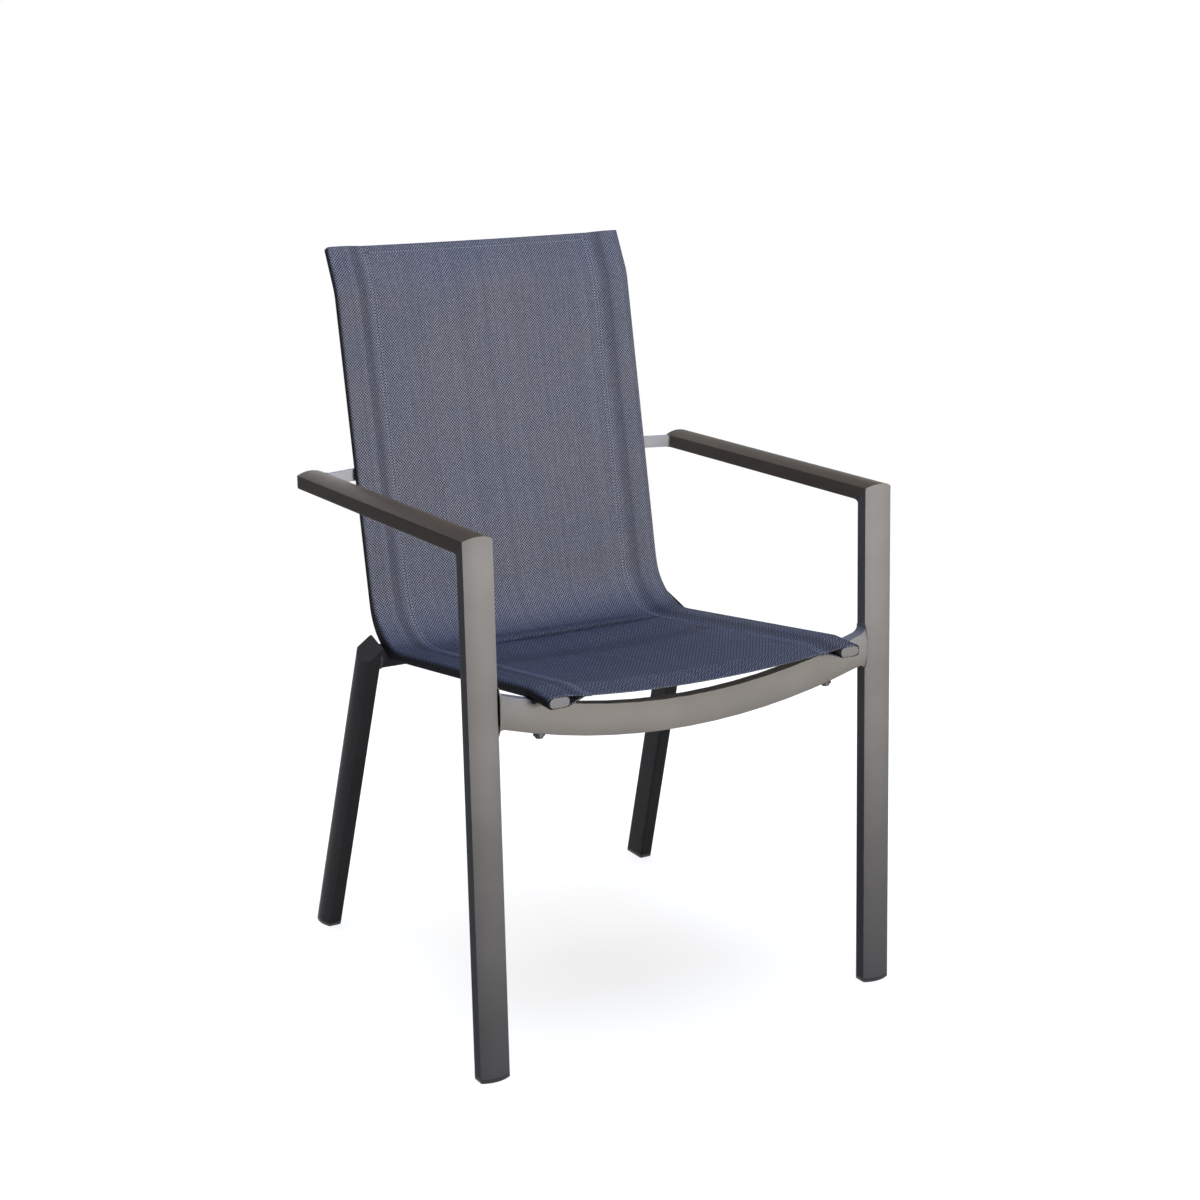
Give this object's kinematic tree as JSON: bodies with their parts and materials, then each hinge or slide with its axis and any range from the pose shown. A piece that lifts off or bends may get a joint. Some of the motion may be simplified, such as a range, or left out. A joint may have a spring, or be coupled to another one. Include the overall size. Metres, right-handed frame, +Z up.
{
  "type": "sling patio chair",
  "caption": "Stacking patio armchair: one-piece textile sling on bent rails in a welded frame of D-section tube with flat-topped arms.",
  "frame": {"origin": "middle of the footprint, on the floor", "axes": "+Z up, the front of the chair faces -Y, +X to the right seen from the front"},
  "size_m": [0.58, 0.572, 0.8958],
  "materials": {
    "frame_coat": "fine-textured taupe-grey powder coat, satin",
    "sling_fabric": "blue-grey PVC-coated polyester mesh in a fine twill weave",
    "black_plastic": "moulded, matt",
    "grey_plastic": "moulded, satin",
    "steel": "plain stainless"
  },
  "bodies": {
    "root": {"front_leg_left": "frame_coat", "armrest_left": "frame_coat", "rear_leg_left": "frame_coat", "rear_leg_cover_left": "frame_coat", "sling_rail_left": "frame_coat", "foot_glide_front_left": "black_plastic", "armrest_end_cap_left": "black_plastic", "foot_glide_rear_left": "black_plastic", "front_spacer_left": "black_plastic", "front_saddle_left": "black_plastic", "back_spacer_left": "black_plastic", "back_saddle_left": "black_plastic", "rear_spacer_left": "black_plastic", "nose_plug_left": "grey_plastic", "top_plug_left": "grey_plastic", "front_bolt_left": "steel", "front_nut_left": "steel", "rear_bolt_left": "steel", "rear_nut_left": "steel", "back_bolt_left": "steel", "back_nut_left": "steel", "front_leg_right": "frame_coat", "armrest_right": "frame_coat", "rear_leg_right": "frame_coat", "rear_leg_cover_right": "frame_coat", "sling_rail_right": "frame_coat", "foot_glide_front_right": "black_plastic", "armrest_end_cap_right": "black_plastic", "foot_glide_rear_right": "black_plastic", "front_spacer_right": "black_plastic", "front_saddle_right": "black_plastic", "back_spacer_right": "black_plastic", "back_saddle_right": "black_plastic", "rear_spacer_right": "black_plastic", "nose_plug_right": "grey_plastic", "top_plug_right": "grey_plastic", "front_bolt_right": "steel", "front_nut_right": "steel", "rear_bolt_right": "steel", "rear_nut_right": "steel", "back_bolt_right": "steel", "back_nut_right": "steel", "front_seat_rail": "frame_coat", "back_link_bar": "frame_coat", "rear_cross_tube": "frame_coat", "sling": "sling_fabric"}
  },
  "joints": []
}
